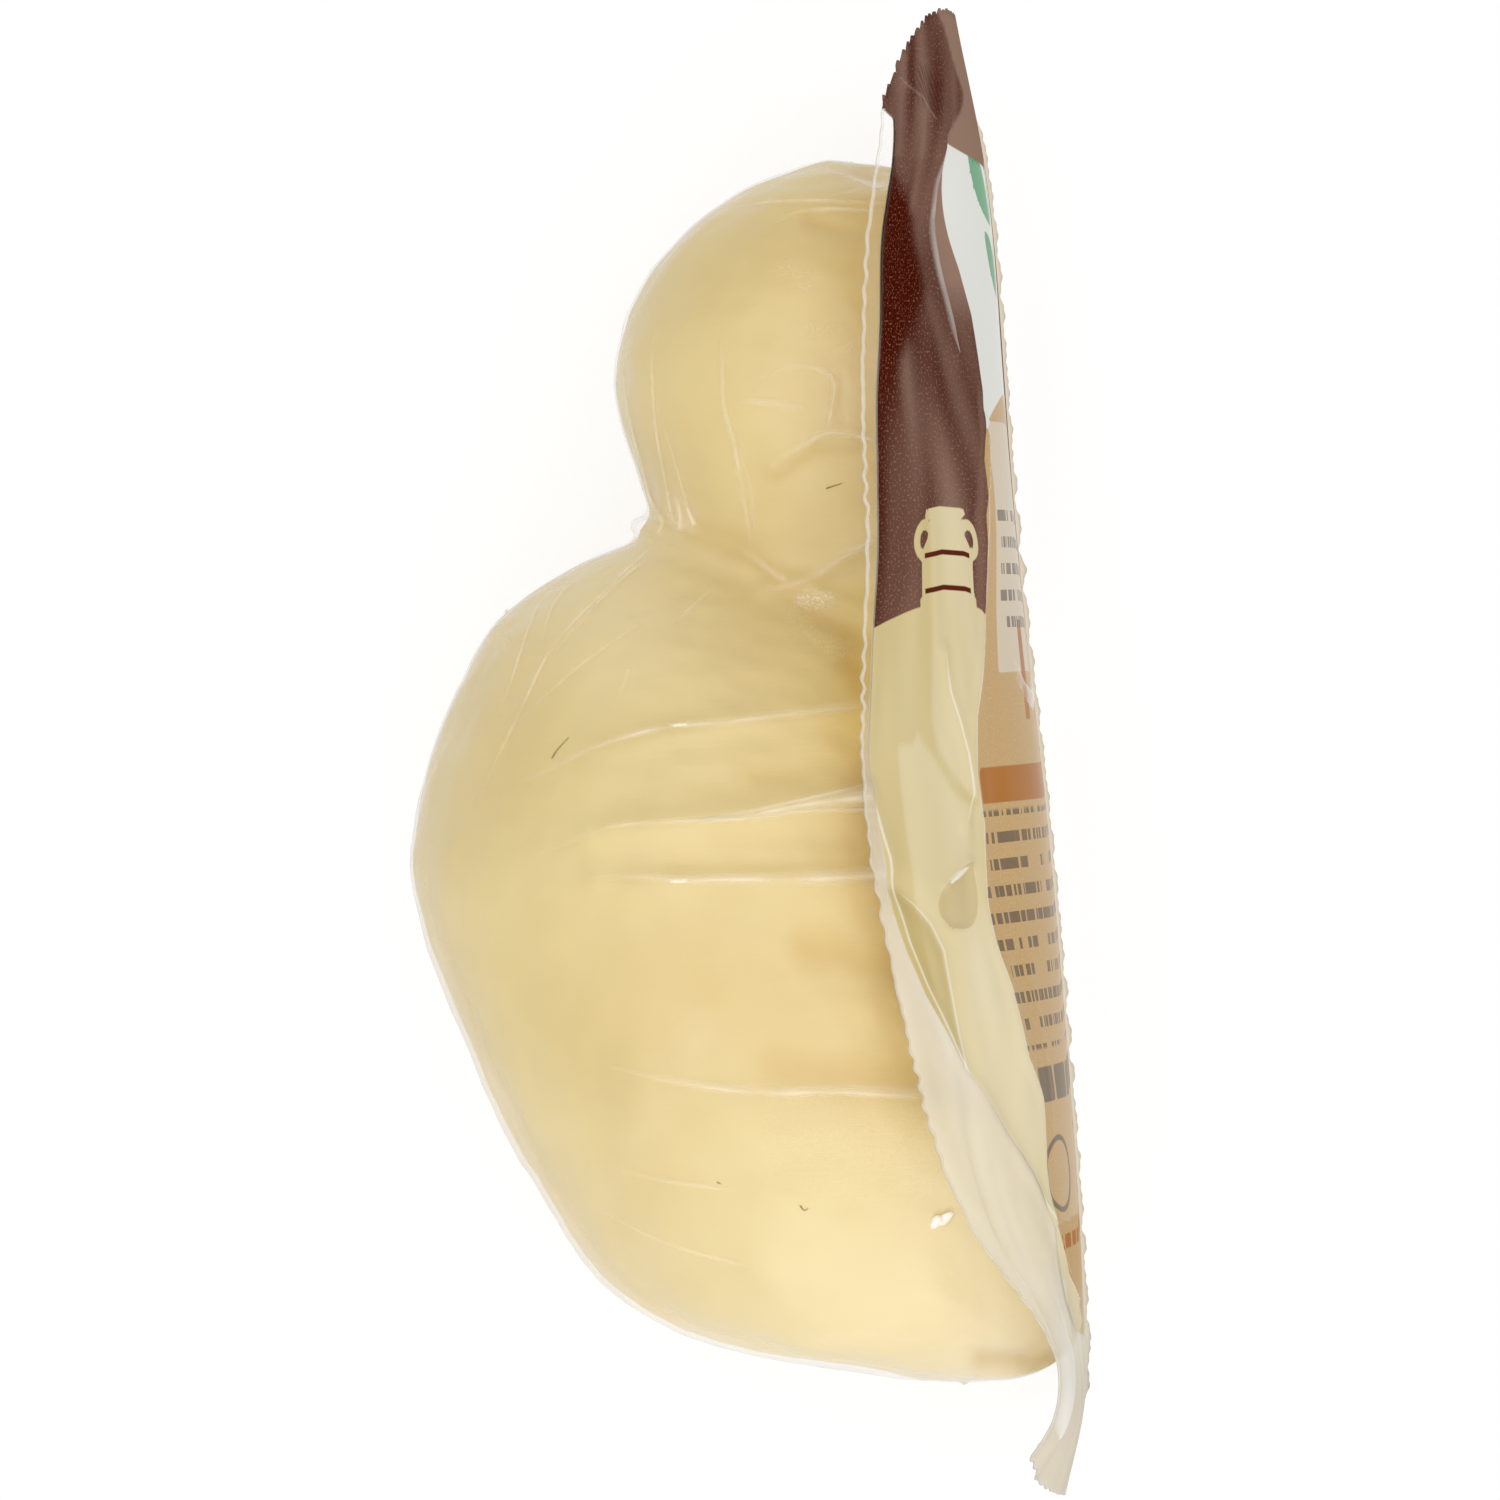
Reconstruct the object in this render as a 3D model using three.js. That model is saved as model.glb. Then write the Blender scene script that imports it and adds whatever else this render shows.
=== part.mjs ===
// Smoked scamorza in its vacuum pack, lying on one side.
//
// The cheese is one piece: a ball-shaped head tied off from a pear-shaped body, shrink-tight in a clear film.
// A printed film closes the pack behind it. The cheese domes that lid a little, and the lid's free rim, the
// sealed flange, is wider than the cheese: the upper one bends forward, the lower one stands on the table.
//
// Millimetres, +Z up. +X is out of the printed lid, +Y runs along the pack to the head. Before the whole is
// set down, z = 0 is the plane that halves the cheese, from its front to the lid.
import * as THREE from "three";

// Cheese: what it rests on, and how its cross-sections are shaped.
const REST_DEPTH = 29.4; // from the halving plane down to the flattened side it lies on
const WIDEST_AT = 0.45; // share of the depth, from the front, where a section is widest
const FRONT_POWER = 2.15; // superellipse powers: 2 is an ellipse, more is squarer
const BACK_POWER = 2.5;
const BODY_RINGS = 30;
const HEAD_RINGS = 22;
const POINTS_AROUND = 48;

// Lid film: sizes of the flat sheet, measured from the middle of the cheese.
const LID_THICKNESS = 0.5;
const LID_GAP = 0.3; // between the film-wrapped cheese and the lid
const UPPER_WIDTH = 42.5; // from the middle to the upper long edge
const LOWER_WIDTH = REST_DEPTH; // and to the lower one, which stands on the table
const LOWER_LEAN = 2; // degrees the lower half leans back
const LID_BOTTOM = -75;
const LID_TOP = 70.5;
const BOTTOM_CORNER = { drop: 6, reach: 30 }; // the ends fall away to their corners by drop, over reach
const TOP_CORNER = { drop: 9.4, reach: 24 };
const FOLD_RUN = 6; // length over which the flange turns away from the dome
const UPPER_COLUMNS = 18;
const LOWER_COLUMNS = 6;
const LID_ROWS = 44;
const BEND_STEPS = 120; // steps in the sum that turns bend angles into a section
const NORMAL_STEP = 0.2; // distance on the sheet between the points that give its normal

// Sections of the cheese. Each spans from a point of the front outline to a point behind the lid, which then
// presses the back flat. Columns: station, front x, front y, back x, back y, half width.
const BODY = [
  [0, 16.0, -64.3, 16.0, -64.3, 0],
  [1, 6.0, -62.3, 23.5, -63.6, 8.7],
  [2, -7.5, -58.7, 29.5, -58.5, 17.8],
  [3, -17.3, -53.0, 32.0, -49.5, 23.5],
  [4, -24.2, -42.4, 33.0, -40.0, 27.5],
  [5, -30.9, -25.6, 33.0, -29.0, 30.1],
  [6, -34.5, -10.0, 33.0, -19.5, 30.7],
  [7, -31.4, 2.4, 33.0, -12.5, 29.4],
  [8, -25.0, 13.6, 32.5, -6.5, 25.8],
  [9, -17.0, 19.0, 32.0, -2.0, 21.6],
  [10, -7.6, 22.4, 32.0, 2.0, 16.6],
];
const HEAD = [
  [0, -7.6, 22.4, 32.0, 2.0, 16.6],
  [1, -9.0, 28.8, 32.0, 14.0, 18.2],
  [2, -10.5, 35.8, 32.0, 26.0, 19.4],
  [3, -9.2, 42.6, 32.0, 36.5, 19.4],
  [4, -4.4, 49.8, 31.5, 45.5, 17.5],
  [5, 3.2, 55.0, 28.0, 52.8, 12.4],
  [6, 10.0, 57.1, 20.0, 57.0, 5.4],
  [7, 14.8, 57.6, 14.8, 57.6, 0],
];

// Sections of the lid. Columns: y, x of its crest, curvature of the dome, where the dome ends, flange angle.
const LID = [
  [-75, 24.9, 0.003, 16, 16],
  [-66, 27.6, 0.004, 18, 6.5],
  [-57, 28.1, 0.007, 21, 9],
  [-46, 28.4, 0.009, 23, 32],
  [-35, 28.5, 0.01, 25, 50],
  [-20, 28.5, 0.0155, 27, 55],
  [-6, 28.3, 0.018, 27, 54],
  [10, 27.8, 0.0155, 23, 43],
  [24, 27.6, 0.012, 20, 37],
  [36, 27.7, 0.022, 19, 26],
  [48, 27.8, 0.032, 19, 15],
  [58, 27.4, 0.018, 18, 17],
  [70.5, 26.0, 0.006, 16, 15],
];

const { clamp, degToRad, lerp, smoothstep } = THREE.MathUtils;
const signedPower = (value, power) => Math.sign(value) * Math.abs(value) ** power;

// A smooth curve through the rows of a table: the first column is the parameter, and every other column passes
// through its rows with the slope of the chord between the rows beside it.
function through(rows) {
  const last = rows.length - 1;
  const slope = (i, k) => {
    const before = rows[Math.max(i - 1, 0)];
    const after = rows[Math.min(i + 1, last)];
    return (after[k] - before[k]) / (after[0] - before[0]);
  };
  return (at) => {
    const found = rows.findIndex((row) => at < row[0]);
    const i = found < 0 ? last - 1 : Math.max(found - 1, 0);
    const [a, b] = [rows[i], rows[i + 1]];
    const span = b[0] - a[0];
    const t = clamp((at - a[0]) / span, 0, 1);
    const rise = t * t * (3 - 2 * t);
    const lift = t * (1 - t) * (1 - t) * span;
    const drop = t * t * (1 - t) * span;
    return a.slice(1).map((from, n) => {
      const k = n + 1;
      return from + (b[k] - from) * rise + slope(i, k) * lift - slope(i + 1, k) * drop;
    });
  };
}

const bodySection = through(BODY);
const headSection = through(HEAD);
const lidSection = through(LID);

// The lid's inner face behind the cheese, less the gap: its x at a height along the pack and a distance from
// the middle. The upper half is a shallow barrel, the lower half is flat.
function lidInside(y, z) {
  const [crest, curvature] = lidSection(y);
  const inside = crest - LID_THICKNESS / 2 - LID_GAP;
  if (z < 0) return inside - z * Math.tan(degToRad(LOWER_LEAN));
  const sine = Math.min(curvature * z, 1);
  return inside - (1 - Math.sqrt(1 - sine * sine)) / curvature;
}

// One point of a cheese section. The angle starts at the lid and rises over the upper side to the front.
// The section is two superellipse halves, pressed flat where it meets the lid and the table.
function cheesePoint([frontX, frontY, backX, backY, halfWidth], angle) {
  const along = Math.cos(angle);
  const power = 2 / (along > 0 ? BACK_POWER : FRONT_POWER);
  const reach = along > 0 ? 1 - WIDEST_AT : WIDEST_AT;
  const share = WIDEST_AT + reach * signedPower(along, power);
  const y = lerp(frontY, backY, share);
  const z = Math.max(halfWidth * signedPower(Math.sin(angle), power), -REST_DEPTH);
  const x = Math.min(lerp(frontX, backX, share), lidInside(y, z));
  return [x, y, z];
}

// The sections in order from the base of the body to the crown of the head, without the two poles.
function cheeseSections() {
  const sections = [];
  for (let i = 1; i <= BODY_RINGS; i++) {
    sections.push(bodySection(((BODY.length - 1) * i) / BODY_RINGS));
  }
  for (let i = 1; i < HEAD_RINGS; i++) {
    sections.push(headSection(((HEAD.length - 1) * i) / HEAD_RINGS));
  }
  return sections;
}

function indexed(positions, triangles) {
  const geometry = new THREE.BufferGeometry();
  geometry.setAttribute("position", new THREE.Float32BufferAttribute(positions, 3));
  geometry.setIndex(triangles);
  geometry.computeVertexNormals();
  return geometry;
}

// Rings of points joined into a closed skin, with a fan at each pole.
function cheeseGeometry() {
  const sections = cheeseSections();
  const positions = [];
  for (const section of sections) {
    for (let k = 0; k < POINTS_AROUND; k++) {
      positions.push(...cheesePoint(section, (2 * Math.PI * k) / POINTS_AROUND));
    }
  }
  const base = sections.length * POINTS_AROUND;
  const crown = base + 1;
  positions.push(...cheesePoint(BODY[0].slice(1), 0), ...cheesePoint(HEAD.at(-1).slice(1), 0));
  const point = (ring, k) => ring * POINTS_AROUND + (k % POINTS_AROUND);
  const triangles = [];
  const top = sections.length - 1;
  for (let k = 0; k < POINTS_AROUND; k++) {
    triangles.push(base, point(0, k), point(0, k + 1));
    for (let ring = 0; ring < top; ring++) {
      triangles.push(point(ring, k), point(ring + 1, k), point(ring + 1, k + 1));
      triangles.push(point(ring, k), point(ring + 1, k + 1), point(ring, k + 1));
    }
    triangles.push(crown, point(top, k + 1), point(top, k));
  }
  return indexed(positions, triangles);
}

// The lid's middle surface at a distance across the flat sheet from its centre line, and a height y.
// In the upper half the dome's bend grows evenly out to the fold and then turns to the flange's own angle;
// summing the bend gives the section, so the film isn't stretched.
function lidPoint(across, y) {
  const [crest, curvature, fold, flangeDegrees] = lidSection(y);
  if (across < 0) {
    const lean = degToRad(LOWER_LEAN);
    return new THREE.Vector3(crest - across * Math.sin(lean), y, across * Math.cos(lean));
  }
  const step = across / BEND_STEPS;
  let forward = 0;
  let out = 0;
  for (let i = 0; i < BEND_STEPS; i++) {
    const at = (i + 0.5) * step;
    const turned = smoothstep(at, fold, fold + FOLD_RUN);
    const bend = lerp(curvature * Math.min(at, fold), degToRad(flangeDegrees), turned);
    forward += Math.sin(bend) * step;
    out += Math.cos(bend) * step;
  }
  return new THREE.Vector3(crest - forward, y, out);
}

function lidNormal(across, y) {
  const acrossway = lidPoint(across + NORMAL_STEP, y).sub(lidPoint(across - NORMAL_STEP, y));
  const along = lidPoint(across, y + NORMAL_STEP).sub(lidPoint(across, y - NORMAL_STEP));
  return along.cross(acrossway).normalize();
}

// How far the sheet's end falls back at a distance from its nearer long edge.
const cornerInset = ({ drop, reach }, fromEdge) => drop * Math.max(1 - fromEdge / reach, 0) ** 2;

// Distance across the sheet of each column of points, from the lower long edge to the upper.
function lidColumns() {
  const columns = [];
  for (let i = 0; i < LOWER_COLUMNS; i++) {
    columns.push(-LOWER_WIDTH * (1 - i / LOWER_COLUMNS));
  }
  for (let i = 0; i <= UPPER_COLUMNS; i++) {
    columns.push((UPPER_WIDTH * i) / UPPER_COLUMNS);
  }
  return columns;
}

// One face of the sheet, moved out along the normals by an offset: rows of points from the bottom to the top.
function lidFace(columns, offset) {
  const positions = [];
  for (let row = 0; row <= LID_ROWS; row++) {
    for (const across of columns) {
      const fromEdge = Math.min(UPPER_WIDTH - across, across + LOWER_WIDTH);
      const bottom = LID_BOTTOM + cornerInset(BOTTOM_CORNER, fromEdge);
      const top = LID_TOP - cornerInset(TOP_CORNER, fromEdge);
      const y = lerp(bottom, top, row / LID_ROWS);
      positions.push(...lidPoint(across, y).addScaledVector(lidNormal(across, y), offset));
    }
  }
  return positions;
}

// The sheet as a thin solid: the printed face, the face on the cheese, and a rim between them.
function lidGeometry() {
  const columns = lidColumns();
  const count = columns.length;
  const front = lidFace(columns, LID_THICKNESS / 2);
  const positions = front.concat(lidFace(columns, -LID_THICKNESS / 2));
  const back = front.length / 3;
  const point = (i, row) => row * count + i;
  const triangles = [];
  for (let row = 0; row < LID_ROWS; row++) {
    for (let i = 0; i < count - 1; i++) {
      const [a, b] = [point(i, row), point(i + 1, row)];
      const [d, c] = [point(i, row + 1), point(i + 1, row + 1)];
      triangles.push(a, c, b, a, d, c);
      triangles.push(back + a, back + b, back + c, back + a, back + c, back + d);
    }
  }
  const bottomEdge = columns.map((_, i) => point(i, 0));
  const topEdge = columns.map((_, i) => point(i, LID_ROWS));
  const sides = [...Array(LID_ROWS - 1).keys()].map((row) => row + 1);
  const upperEdge = sides.map((row) => point(count - 1, row));
  const lowerEdge = sides.map((row) => point(0, row));
  const rim = [...bottomEdge, ...upperEdge, ...topEdge.reverse(), ...lowerEdge.reverse()];
  rim.forEach((from, n) => {
    const to = rim[(n + 1) % rim.length];
    triangles.push(from, to, back + to, from, back + to, back + from);
  });
  return indexed(positions, triangles);
}

const cheese = new THREE.Mesh(
  cheeseGeometry(),
  new THREE.MeshStandardMaterial({ color: "#e0cb95", roughness: 0.35, metalness: 0 }),
);
cheese.name = "scamorza_in_clear_film";

const lid = new THREE.Mesh(
  lidGeometry(),
  new THREE.MeshStandardMaterial({ color: "#5a2f22", roughness: 0.4, metalness: 0 }),
);
lid.name = "printed_lid_film";

// The pack is set down with its origin on the table, under the middle of its box.
const pack = new THREE.Group();
pack.add(cheese, lid);
const box = new THREE.Box3().setFromObject(pack, true);
const middle = box.getCenter(new THREE.Vector3());
pack.position.set(-middle.x, -middle.y, -box.min.z);

export default pack;
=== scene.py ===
import bpy
import numpy as np
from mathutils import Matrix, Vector


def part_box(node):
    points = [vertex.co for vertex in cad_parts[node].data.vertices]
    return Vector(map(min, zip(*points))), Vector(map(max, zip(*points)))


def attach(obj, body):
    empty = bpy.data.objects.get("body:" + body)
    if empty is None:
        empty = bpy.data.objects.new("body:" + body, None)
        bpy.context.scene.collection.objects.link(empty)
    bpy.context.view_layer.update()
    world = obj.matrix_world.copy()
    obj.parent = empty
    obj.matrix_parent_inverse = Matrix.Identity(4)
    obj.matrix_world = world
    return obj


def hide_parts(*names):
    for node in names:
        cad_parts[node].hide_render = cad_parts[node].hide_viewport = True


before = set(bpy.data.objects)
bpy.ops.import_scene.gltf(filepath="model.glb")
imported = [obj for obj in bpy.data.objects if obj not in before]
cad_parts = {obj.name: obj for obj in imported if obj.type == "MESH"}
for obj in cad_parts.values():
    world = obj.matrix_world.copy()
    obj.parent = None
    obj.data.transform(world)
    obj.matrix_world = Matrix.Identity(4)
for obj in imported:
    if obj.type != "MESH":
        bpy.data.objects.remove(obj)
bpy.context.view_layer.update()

# Cheese
# Stretched-curd cheese, a ball-shaped head tied off from a pear-shaped body, moulded by hand and lightly
# smoked. The film round it has pressed its skin smooth, and the lid has pressed its back flat.

# Sections from base to neck and from neck to crown: station, front x and y, back x and y, half width.
BODY = np.array([
    [0, 16.0, -64.3, 16.0, -64.3, 0],
    [1, 6.0, -62.3, 23.5, -63.6, 8.7],
    [2, -7.5, -58.7, 29.5, -58.5, 17.8],
    [3, -17.3, -53.0, 32.0, -49.5, 23.5],
    [4, -24.2, -42.4, 33.0, -40.0, 27.5],
    [5, -30.9, -25.6, 33.0, -29.0, 30.1],
    [6, -34.5, -10.0, 33.0, -19.5, 30.7],
    [7, -31.4, 2.4, 33.0, -12.5, 29.4],
    [8, -25.0, 13.6, 32.5, -6.5, 25.8],
    [9, -17.0, 19.0, 32.0, -2.0, 21.6],
    [10, -7.6, 22.4, 32.0, 2.0, 16.6],
])
HEAD = np.array([
    [10, -7.6, 22.4, 32.0, 2.0, 16.6],
    [11, -9.0, 28.8, 32.0, 14.0, 18.2],
    [12, -10.5, 35.8, 32.0, 26.0, 19.4],
    [13, -9.2, 42.6, 32.0, 36.5, 19.4],
    [14, -4.4, 49.8, 31.5, 45.5, 17.5],
    [15, 3.2, 55.0, 28.0, 52.8, 12.4],
    [16, 10.0, 57.1, 20.0, 57.0, 5.4],
    [17, 14.8, 57.6, 14.8, 57.6, 0],
])
# Sections of the lid that presses its back: y, x of the crest, curvature, where the dome ends, flange angle.
LID = np.array([
    [-75, 24.9, 0.003, 16, 16],
    [-66, 27.6, 0.004, 18, 6.5],
    [-57, 28.1, 0.007, 21, 9],
    [-46, 28.4, 0.009, 23, 32],
    [-35, 28.5, 0.01, 25, 50],
    [-20, 28.5, 0.0155, 27, 55],
    [-6, 28.3, 0.018, 27, 54],
    [10, 27.8, 0.0155, 23, 43],
    [24, 27.6, 0.012, 20, 37],
    [36, 27.7, 0.022, 19, 26],
    [48, 27.8, 0.032, 19, 15],
    [58, 27.4, 0.018, 18, 17],
    [70.5, 26.0, 0.006, 16, 15],
])
NECK = 10  # the station where head and body meet
REST_DEPTH = 29.4  # the table lies this far below the middle
WIDEST_AT = 0.45  # share of the way from front to back
FRONT_POWER = 2.15
BACK_POWER = 2.5
LID_CLEARANCE = 0.55
LOWER_LEAN = np.radians(2)  # of the lid's lower half
CROWN_DIP = 1.1  # the crown sinks by this much towards the lid
NECK_ROUND = 2.2  # the valley of the neck is rounded this far to either side
FILM_DEPTH = 0.1  # the cheese lies this far inside the film, and more where the film is loose
OWN_CORNER = (BODY[:, 1].min(), BODY[:, 2].min(), -REST_DEPTH)
SET_DOWN = np.array(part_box("scamorza_in_clear_film")[0]) * 1000 - OWN_CORNER


def through(rows, at):
    """A smooth curve through the rows of a table: a cubic in each span, with the slope of the chord between
    the rows on either side of each end."""
    at = np.asarray(at, float)
    last = len(rows) - 1
    order = np.arange(last + 1)
    before, after = rows[np.maximum(order - 1, 0)], rows[np.minimum(order + 1, last)]
    slope = (after - before) / (after[:, :1] - before[:, :1])
    i = np.clip(np.searchsorted(rows[:, 0], at, side="right") - 1, 0, last - 1)
    start, end = rows[i], rows[i + 1]
    span = end[..., :1] - start[..., :1]
    t = np.clip((at[..., None] - start[..., :1]) / span, 0, 1)
    rise = start + (end - start) * t * t * (3 - 2 * t)
    return (rise + span * t * (1 - t) * (slope[i] * (1 - t) - slope[i + 1] * t))[..., 1:]


def signed_power(value, power):
    """The power of a value's size, with the value's sign."""
    return np.sign(value) * np.abs(value) ** power


def cheese_skin(station, angle):
    """A point of the wrapped cheese. Each section is two superellipse halves between its front and its back,
    cut off by the lid and by the table. The angle starts at the lid and rises over the upper side."""
    section = np.where(station[..., None] < NECK, through(BODY, station), through(HEAD, station))
    front, back, half_width = section[..., 0:2], section[..., 2:4], section[..., 4]
    along = np.cos(angle)
    power = np.where(along > 0, 2 / BACK_POWER, 2 / FRONT_POWER)
    reach = np.where(along > 0, 1 - WIDEST_AT, WIDEST_AT)
    share = (WIDEST_AT + reach * signed_power(along, power))[..., None]
    x, y = np.moveaxis(front + (back - front) * share, -1, 0)
    y = y - CROWN_DIP * np.clip((x - 12.5) / 6, 0, 1) * np.clip((y - 46) / 10, 0, 1)
    z = np.maximum(half_width * signed_power(np.sin(angle), power), -REST_DEPTH)
    crest, curvature = np.moveaxis(through(LID, y), -1, 0)[:2]
    sine = np.clip(curvature * z, 0, 1)
    dome = np.where(z < 0, z * np.tan(LOWER_LEAN), (1 - np.sqrt(1 - sine * sine)) / curvature)
    return np.stack([np.minimum(x, crest - LID_CLEARANCE - dome), y, z], -1)


def swell(points, length, seed):
    """Gentle unevenness between about -1 and 1: a sum of twelve sine waves of about that wavelength, in
    random directions."""
    draw = np.random.default_rng(seed)
    ways = draw.normal(size=(12, points.shape[-1]))
    lengths = length * draw.uniform(0.7, 1.4, (12, 1))
    ways *= 2 * np.pi / (lengths * np.linalg.norm(ways, axis=1, keepdims=True))
    return np.sin(points @ ways.T + draw.uniform(0, 2 * np.pi, 12)).sum(-1) / 4


def smooth_along(values, rounds):
    """Evens out a row of values: each becomes the mean of itself and its neighbours, several times over."""
    for _ in range(rounds):
        padded = np.concatenate([values[:1], values, values[-1:]])
        values = (padded[:-2] + 2 * padded[1:-1] + padded[2:]) / 4
    return values


def ring_normals(points):
    """Outward normals of a grid of rings: the cross product of the steps along and around it."""
    along = np.gradient(points, axis=0)
    around = np.roll(points, -1, axis=1) - np.roll(points, 1, axis=1)
    normal = np.cross(along, around)
    return normal / np.maximum(np.linalg.norm(normal, axis=-1, keepdims=True), 1e-9)


def ring_faces(rings, around):
    """Quads between neighbouring rings and a fan of triangles at each end, to the two poles that follow."""
    k = np.arange(around)
    after = (k + 1) % around
    row = np.arange(rings - 1)[:, None] * around
    quads = np.stack([row + k, row + around + k, row + around + after, row + after], -1).reshape(-1, 4)
    base, crown, top = rings * around, rings * around + 1, (rings - 1) * around
    fans = np.concatenate([
        np.stack([np.full(around, base), k, after], -1),
        np.stack([np.full(around, crown), top + after, top + k], -1),
    ])
    return quads.tolist() + fans.tolist()


def piece(name, points, faces, material, slot, **attributes):
    """Sets points down on the table as a smooth mesh, with a number or a vector for each point as attributes,
    and lets it ride on the part's body."""
    points = np.maximum(points.reshape(-1, 3) + SET_DOWN, (-np.inf, -np.inf, 0)) / 1000
    mesh = bpy.data.meshes.new(name)
    mesh.from_pydata(points.tolist(), [], faces)
    mesh.shade_smooth()
    for key, values in attributes.items():
        vector = values.ndim > 1 and values.shape[-1] == 3
        layer = mesh.attributes.new(key, "FLOAT_VECTOR" if vector else "FLOAT", "POINT")
        layer.data.foreach_set("vector" if vector else "value", np.asarray(values, float).ravel())
    mesh.materials.append(material)
    made = bpy.data.objects.new(name, mesh)
    bpy.context.scene.collection.objects.link(made)
    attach(made, "root")
    return made


def ink(code):
    """The linear colour of an sRGB hex value."""
    share = np.array([int(code[i:i + 2], 16) for i in (1, 3, 5)]) / 255
    linear = np.where(share <= 0.04045, share / 12.92, ((share + 0.055) / 1.055) ** 2.4)
    return (*linear.tolist(), 1.0)


def add(tree, kind, inputs=None, out=None, **settings):
    """Adds a shader node and gives one of its outputs, the first that is in use unless one is named. Settings
    are the node's own properties, and inputs are values or sockets to link."""
    made = tree.nodes.new("ShaderNode" + kind)
    for key, value in settings.items():
        setattr(made, key, value)
    for key, value in (inputs or {}).items():
        if isinstance(value, bpy.types.NodeSocket):
            tree.links.new(value, made.inputs[key])
        else:
            made.inputs[key].default_value = value
    return made.outputs[out] if out else next((socket for socket in made.outputs if socket.enabled), None)


def blank_material(name):
    """A new material with no nodes, and its node tree."""
    made = bpy.data.materials.new(name)
    made.use_nodes = True
    made.node_tree.nodes.clear()
    return made, made.node_tree


def from_path(points, path):
    """Distance in the plan from each point to a path of straight pieces."""
    path = np.array(path, float)
    best = np.full(points.shape[:-1], np.inf)
    for a, b in zip(path[:-1], path[1:]):
        way = b - a
        share = np.clip(((points - a) @ way) / (way @ way), 0, 1)
        best = np.minimum(best, np.linalg.norm(points - a - share[..., None] * way, axis=-1))
    return best


BODY_RINGS = 175
HEAD_RINGS = 125
UPPER_POINTS = 214
LOWER_POINTS = 100
stations = np.concatenate([
    np.linspace(0, NECK, BODY_RINGS + 1)[1:],
    np.linspace(NECK, HEAD[-1, 0], HEAD_RINGS + 1)[1:-1],
])
angles = np.concatenate([
    np.linspace(0, np.pi, UPPER_POINTS, endpoint=False),
    np.linspace(np.pi, 2 * np.pi, LOWER_POINTS, endpoint=False),
])
station_grid, angle_grid = np.meshgrid(stations, angles, indexing="ij")
wrapped = cheese_skin(station_grid, angle_grid)
from_neck = np.linalg.norm(wrapped - wrapped[BODY_RINGS - 1], axis=-1)
neck = slice(BODY_RINGS - 31, BODY_RINGS + 30)
rounded = smooth_along(wrapped[neck], 80) - wrapped[neck]
wrapped[neck] += rounded * np.exp(-((from_neck[neck] / NECK_ROUND) ** 2))[..., None]
outward = ring_normals(wrapped)
poles = cheese_skin(np.array([0.0, HEAD[-1, 0]]), np.zeros(2))
skin_faces = ring_faces(*wrapped.shape[:2])

# Ribs that the tight film has pressed into the curd, and hollows between them, partly shape and partly
# painted shade: height, half width and plan.
RELIEF = [
    (0.35, 1.2, [(22, 3.4), (11.5, 3.2), (-2.9, 2.8), (-15.2, 1.4)]),
    (0.6, 1.5, [(24, -5.4), (10.8, -5.5), (-0.4, -6.2), (-15.9, -6.6)]),
    (0.5, 1.6, [(24, -14.2), (10.7, -13.6), (-4.2, -12.7), (-15.7, -11.5)]),
    (0.7, 3, [(26, -37), (13.2, -36.6), (-0.4, -36), (-12.9, -33)]),
    (0.4, 1.2, [(22, 52), (15.8, 52.6), (7.5, 53.4)]),
    (0.4, 1, [(20, 20.8), (12.2, 18.7), (7.6, 16.3), (2.9, 15.5)]),
    (0.3, 1, [(4.3, 27.1), (7.9, 29.2), (10, 30.1), (13.3, 29.4), (18, 28.5)]),
    (-0.45, 1.1, [(-3.4, 22), (1.7, 19), (4.2, 16.6), (8.2, 12.5), (11.5, 10.1), (16, 7)]),
    (-1, 1.8, [(11, 7.6), (12, 5.8), (16, 4.8)]),
    (-0.5, 1.7, [(1, -2.6), (5.5, -2.6), (10.7, -2.9), (16, -2.6)]),
    (-0.3, 1.3, [(-3.6, -8.6), (2.4, -9), (10.1, -9.4), (16, -9.6)]),
    (-0.35, 0.8, [(-8.3, -10.4), (0.7, -11.1), (10.8, -11.7), (16, -12)]),
    (-1, 3, [(4.5, -19.8), (8, -20.3), (11.7, -21.6), (18, -22.5)]),
    (-0.8, 2.2, [(0.2, -30.4), (5.5, -31.6), (13.5, -32.2), (18, -32.4)]),
    (-0.45, 6, [(-6, -22), (4, -24), (14, -25)]),
    (-0.9, 1.3, [(18, -61.6), (21, -62), (25, -62.6)]),
    (-0.5, 0.8, [(4.6, 26.2), (6.8, 27.3), (8.9, 28.2), (13.4, 28)]),
    (-0.4, 0.5, [(11.7, 35.3), (11.4, 30.8)]),
    (-0.7, 0.9, [(10, 51), (13.1, 50), (15.5, 49.5), (18, 49)]),
    (-0.8, 0.8, [(15.6, 55.9), (17.1, 55.1)]),
]
HOLLOW_DEPTH = 0.4  # this share of a hollow is shape, the rest of it is painted shade
plan = wrapped[..., :2]
by_x, by_y, by_z = np.moveaxis(wrapped, -1, 0)
off_parting = np.clip(np.abs(by_z) / 8, 0, 1)
relief = np.zeros(station_grid.shape)
hollow = np.zeros(station_grid.shape)
for height, half_width, path in RELIEF:
    bell = np.exp(-(from_path(plan, path) / half_width) ** 2) * off_parting
    relief += height * bell * (HOLLOW_DEPTH if height < 0 else 1)
    hollow = np.maximum(hollow, -height * bell)
crest, curvature = np.moveaxis(through(LID, by_y), -1, 0)[:2]
to_lid = crest - np.where(by_z > 0, curvature * by_z**2 / 2, 0) - by_x
upper = np.clip(by_z / 10, 0, 1)
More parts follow.
